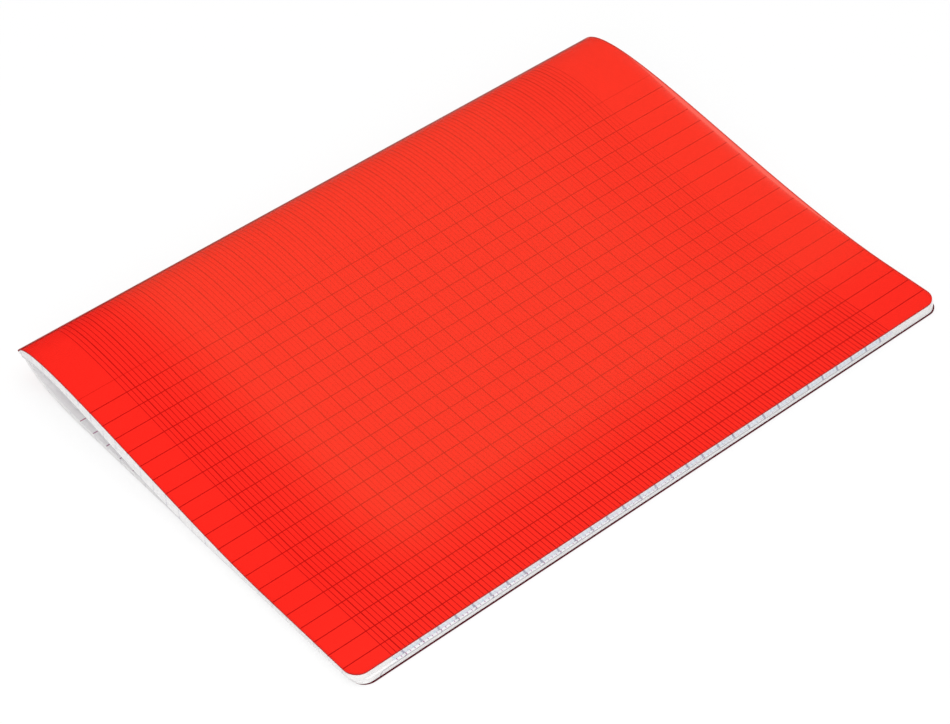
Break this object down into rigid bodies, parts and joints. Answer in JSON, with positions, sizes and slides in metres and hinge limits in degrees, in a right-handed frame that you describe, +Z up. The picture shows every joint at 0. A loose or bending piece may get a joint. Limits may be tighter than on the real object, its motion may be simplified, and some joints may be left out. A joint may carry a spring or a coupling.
{
  "type": "stapled exercise notebook",
  "caption": "Closed A4 exercise notebook lying flat: stapled ruled leaves in a one-sheet translucent red plastic cover, sprung up near the fold, with rounded fore-edge corners.",
  "frame": {"origin": "middle of the notebook's outline on the table, under the back cover", "axes": "+X from the fold to the fore edge, +Y from the tail to the head of the page, +Z up from the back cover to the front cover"},
  "size_m": [0.21, 0.2972, 0.0255],
  "materials": {
    "cover_plastic": "satin translucent polypropylene sheet",
    "ruled_paper": "uncoated white paper with fine ruling",
    "staple_wire": "bright drawn wire"
  },
  "bodies": {
    "pages": {"page_block": "ruled_paper", "cover_spine": "cover_plastic", "staple_tail": "staple_wire", "staple_head": "staple_wire"},
    "front_cover": {"front_cover": "cover_plastic"},
    "back_cover": {"back_cover": "cover_plastic"}
  },
  "joints": [
    {"name": "front_cover_fold", "type": "hinge", "parent": "pages", "child": "front_cover", "pos_m": [-0.09877, -0.00105, 0.02033], "axis": [-0.0037, -0.9999, -0.0163], "range_deg": [0, 180]},
    {"name": "back_cover_fold", "type": "hinge", "parent": "pages", "child": "back_cover", "pos_m": [-0.09479, 0.00105, 0.00502], "axis": [0.0016, 1, 0.005], "range_deg": [0, 180]}
  ]
}
